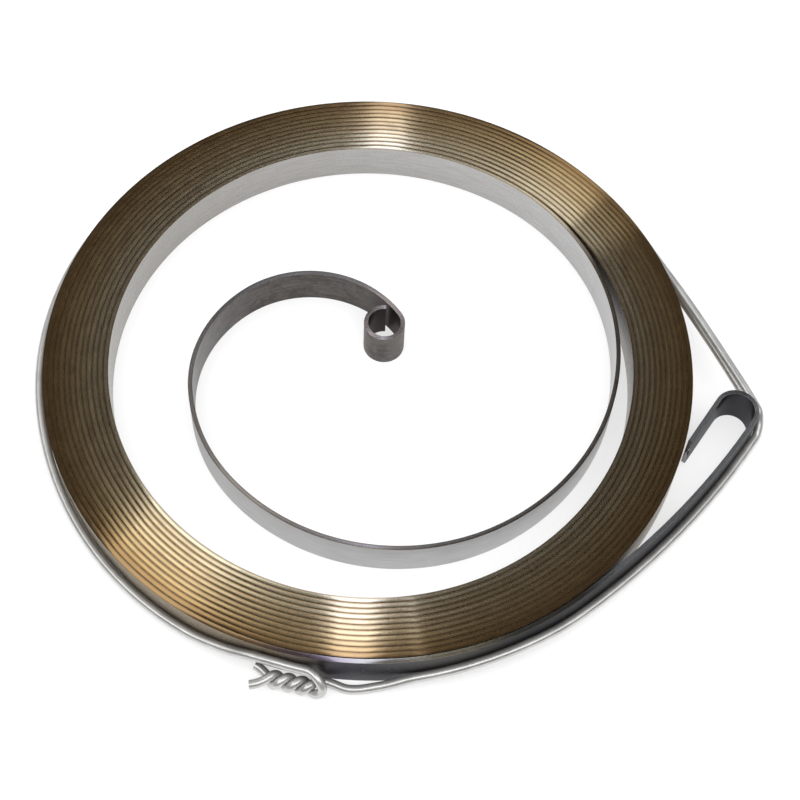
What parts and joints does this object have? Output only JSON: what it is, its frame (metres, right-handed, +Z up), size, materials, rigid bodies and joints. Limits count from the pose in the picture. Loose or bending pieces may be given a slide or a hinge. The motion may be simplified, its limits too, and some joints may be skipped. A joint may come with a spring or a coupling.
{
  "type": "recoil starter spring",
  "caption": "Flat spiral spring wound from steel strip, with a curled eye at its inner end and a hairpin hook at its outer end, held wound by a twisted retaining wire.",
  "frame": {"origin": "centre of the packed turns, in the plane of the strip's lower edges", "axes": "+Z up along the strip's width, +X towards the hook, +Y towards the back of the coil as pictured"},
  "size_m": [0.0821, 0.0767, 0.005],
  "materials": {
    "spring_strip": "tempered spring steel, bronze tinted edges, blued near the hook",
    "wire": "bright drawn wire"
  },
  "bodies": {
    "root": {"spring_strip": "spring_strip", "retaining_wire": "wire", "wire_lap": "wire"}
  },
  "joints": []
}
